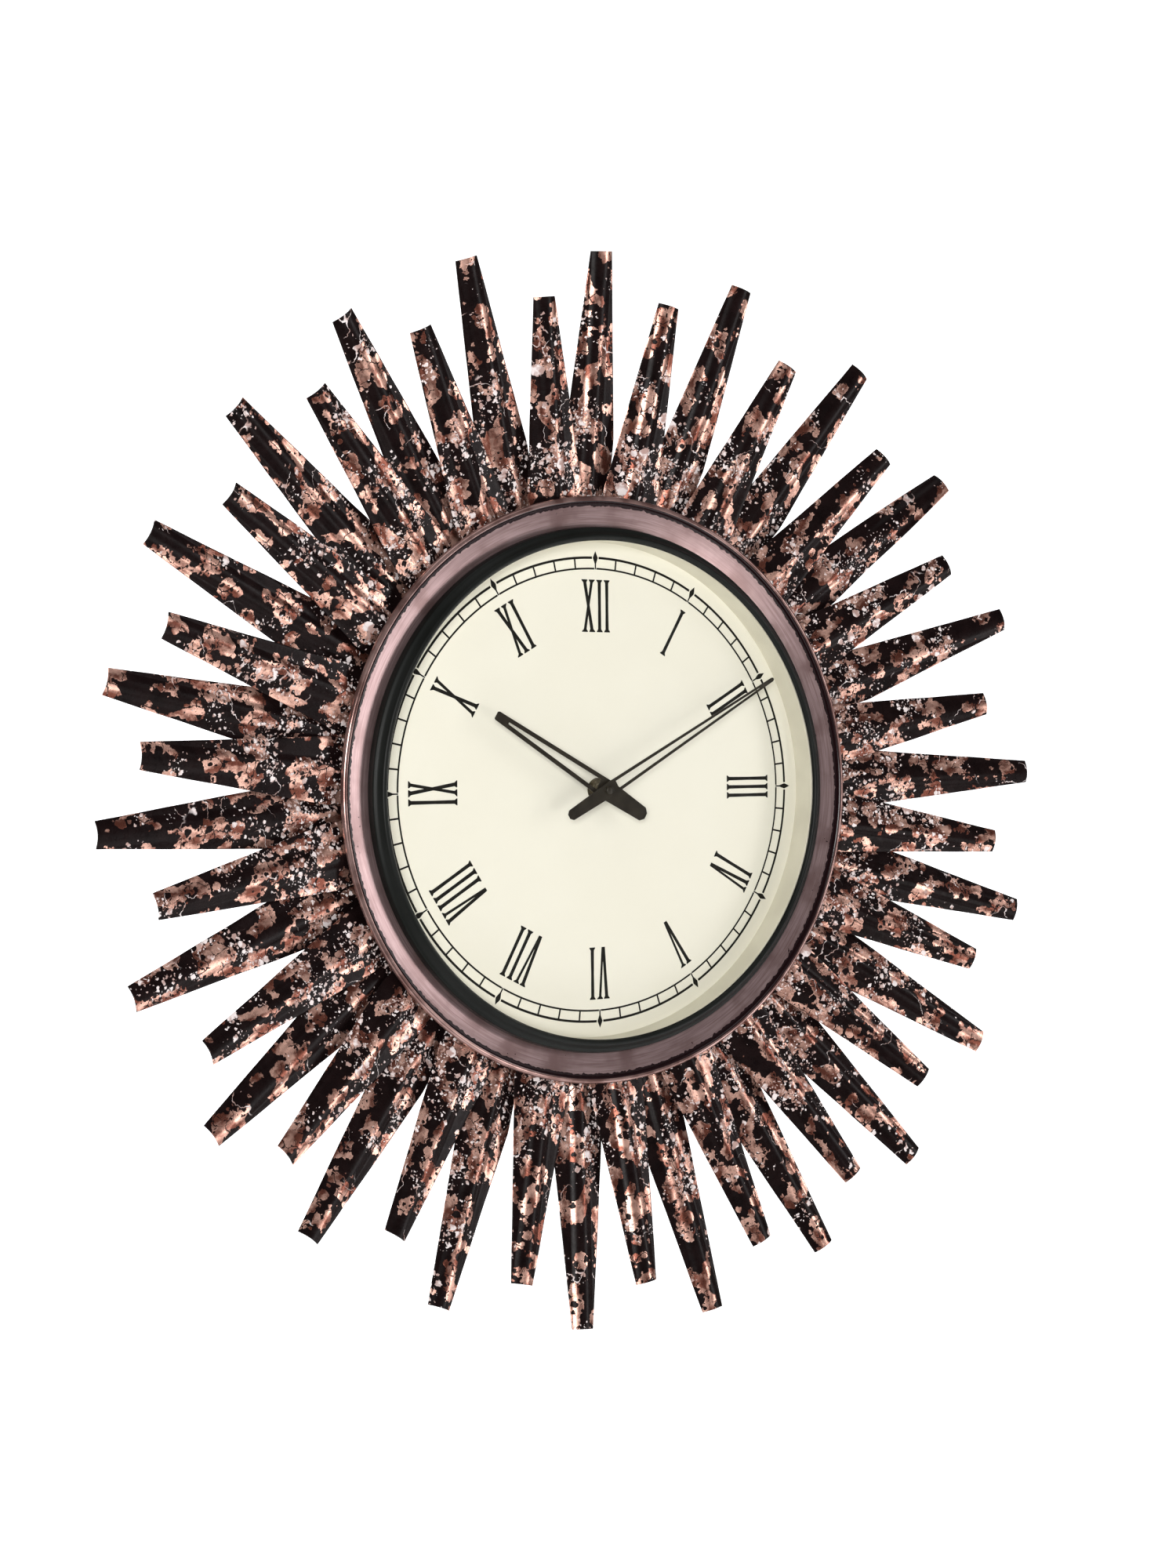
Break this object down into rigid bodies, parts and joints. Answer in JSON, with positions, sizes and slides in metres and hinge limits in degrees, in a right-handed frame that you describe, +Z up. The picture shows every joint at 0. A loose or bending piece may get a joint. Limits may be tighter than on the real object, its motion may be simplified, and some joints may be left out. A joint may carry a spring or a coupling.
{
  "type": "sunburst wall clock",
  "caption": "Round quartz wall clock with tapered sheet-metal rays, dished metal bezel, glazed Roman dial, slotted hands and a keyhole hanger.",
  "frame": {"origin": "on the clock's axis, in the plane of the wall that the four rubber bumpers touch", "axes": "+Z up, the dial faces -Y, +X to the right of a viewer who faces the dial"},
  "size_m": [0.6121, 0.0704, 0.6095],
  "materials": {
    "bezel_lacquer": "brushed rose-copper lacquer, satin",
    "plated_steel": "zinc-plated",
    "black_gasket": "satin",
    "clear_glass": "clear, polished",
    "cream_wall": "matt",
    "cream_dial": "matt cream print ground",
    "hardboard": "pressed hardboard, raw",
    "black_case_paint": "semi-matt black enamel",
    "splatter_paint": "near-black enamel with copper patches and silver-pink splatter",
    "movement_plastic": "fine moulded texture",
    "brass": "turned",
    "circuit_green": "solder mask",
    "copper_winding": "enamelled copper wire",
    "stator_iron": "satin",
    "battery_shell": "printed film, plain",
    "magnet_iron": "ground",
    "white_acetal": "moulded",
    "bronze_paint": "dark bronze, satin"
  },
  "bodies": {
    "case": {"bezel_ring": "bezel_lacquer", "rim_wire": "bezel_lacquer", "bezel_screws": "plated_steel", "glass_gasket": "black_gasket", "glass_lens": "clear_glass", "rehaut_ring": "cream_wall", "dial_plate": "cream_dial", "dial_backing": "hardboard", "case_pan": "black_case_paint", "ray_hoop": "black_case_paint", "hoop_screws": "plated_steel", "hoop_nuts": "plated_steel", "rays_01": "splatter_paint", "rays_02": "splatter_paint", "rays_03": "splatter_paint", "rays_04": "splatter_paint", "rays_05": "splatter_paint", "rays_06": "splatter_paint", "rays_07": "splatter_paint", "rays_08": "splatter_paint", "rays_09": "splatter_paint", "rays_10": "splatter_paint", "rays_11": "splatter_paint", "long_ray_rivets": "plated_steel", "short_ray_rivets": "plated_steel", "long_ray_sleeves": "plated_steel", "short_ray_sleeves": "plated_steel", "hanger_plate": "plated_steel", "hanger_rivets": "plated_steel", "wall_bumpers": "black_gasket", "movement_tub": "movement_plastic", "movement_cover": "movement_plastic", "mounting_gasket": "black_gasket", "threaded_bush": "brass", "dial_washer": "brass", "hex_nut": "brass", "circuit_board": "circuit_green", "quartz_crystal": "plated_steel", "drive_coil": "copper_winding", "stator_plate": "stator_iron", "positive_contact": "plated_steel", "negative_contact": "plated_steel"},
    "minute_train": {"minute_arbor": "stator_iron", "centre_wheel": "brass", "cannon_pinion": "brass", "minute_hand": "bronze_paint", "hand_cap": "bronze_paint"},
    "hour_train": {"hour_wheel": "white_acetal", "hour_hand": "bronze_paint"},
    "motion_wheel": {"minute_wheel": "white_acetal"},
    "time_setter": {"setting_shaft": "white_acetal", "setting_knob": "movement_plastic"},
    "reduction_wheel": {"intermediate_wheel": "white_acetal"},
    "rotor": {"rotor_magnet": "magnet_iron", "rotor_pinion": "white_acetal"},
    "cell": {"battery": "battery_shell"}
  },
  "joints": [
    {"name": "minute_spin", "type": "hinge", "parent": "case", "child": "minute_train", "pos_m": [0, -0.02, 0], "axis": [0, 1, 0], "continuous": true},
    {"name": "hour_spin", "type": "hinge", "parent": "case", "child": "hour_train", "pos_m": [0, -0.02, 0], "axis": [0, 1, 0], "continuous": true},
    {"name": "motion_wheel_spin", "type": "hinge", "parent": "case", "child": "motion_wheel", "pos_m": [-0.012, -0.02, 0], "axis": [0, 1, 0], "continuous": true},
    {"name": "setting_spin", "type": "hinge", "parent": "case", "child": "time_setter", "pos_m": [-0.0161, -0.02, 0.01128], "axis": [0, 1, 0], "continuous": true},
    {"name": "reduction_spin", "type": "hinge", "parent": "case", "child": "reduction_wheel", "pos_m": [0.00631, -0.02, 0.00901], "axis": [0, 1, 0], "continuous": true},
    {"name": "rotor_spin", "type": "hinge", "parent": "case", "child": "rotor", "pos_m": [-0.00135, -0.02, 0.01544], "axis": [0, 1, 0], "continuous": true},
    {"name": "battery_slide", "type": "slide", "parent": "case", "child": "cell", "axis": [0, 1, 0], "range_m": [0, 0.03]}
  ],
  "couplings": [
    {"joint": "hour_spin", "follows": "minute_spin", "ratio": 0.083333},
    {"joint": "motion_wheel_spin", "follows": "minute_spin", "ratio": -0.33333},
    {"joint": "setting_spin", "follows": "minute_spin", "ratio": 1},
    {"joint": "reduction_spin", "follows": "minute_spin", "ratio": -10},
    {"joint": "rotor_spin", "follows": "minute_spin", "ratio": 90}
  ]
}
